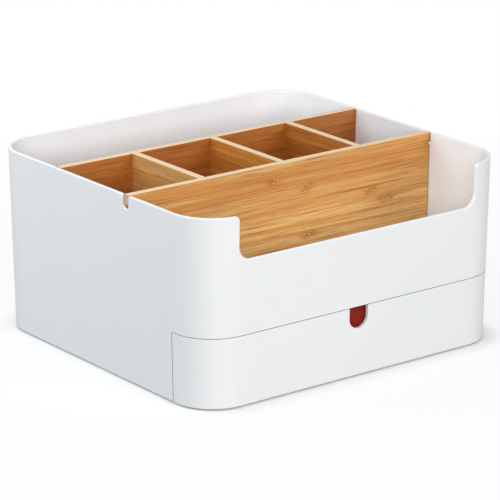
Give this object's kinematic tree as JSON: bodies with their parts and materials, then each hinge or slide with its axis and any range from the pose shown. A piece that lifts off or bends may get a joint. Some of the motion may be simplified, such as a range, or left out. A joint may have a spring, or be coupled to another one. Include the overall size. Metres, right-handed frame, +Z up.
{
  "type": "desk organizer with drawer",
  "caption": "Rounded white desk organizer with a cut-down front, a lift-out bamboo insert that divides its open top into rows and cells, and a full-width drawer below with a finger notch.",
  "frame": {"origin": "on the desk, under the middle of the shell's outline at the rim", "axes": "+X to the right along the front, +Y from the front to the back, +Z up"},
  "size_m": [0.26, 0.2439, 0.13],
  "materials": {
    "white_abs": "moulded ABS, fine satin",
    "white_abs_base": "moulded ABS, matt",
    "red_abs": "moulded ABS, satin",
    "acetal": "moulded acetal, smooth",
    "zinc_steel": "zinc plated",
    "bamboo": "laminated bamboo, sanded and oiled",
    "soft_foot": "moulded elastomer, matt"
  },
  "bodies": {
    "body": {"body_shell": "white_abs", "base_plate": "white_abs_base", "base_screws": "zinc_steel", "left_runner": "acetal", "right_runner": "acetal", "foot_front_left": "soft_foot", "foot_front_right": "soft_foot", "foot_rear_left": "soft_foot", "foot_rear_right": "soft_foot"},
    "drawer": {"drawer_front": "white_abs", "drawer_tray": "red_abs", "drawer_front_screws": "zinc_steel"},
    "divider_insert": {"front_divider": "bamboo", "rear_divider": "bamboo", "cross_divider_left": "bamboo", "cross_divider_middle": "bamboo", "cross_divider_right": "bamboo"}
  },
  "joints": [
    {"name": "drawer_slide", "type": "slide", "parent": "body", "child": "drawer", "axis": [0, -1, 0], "range_m": [0, 0.15]},
    {"name": "insert_lift", "type": "slide", "parent": "body", "child": "divider_insert", "axis": [0, 0, 1], "range_m": [0, 0.11]}
  ]
}
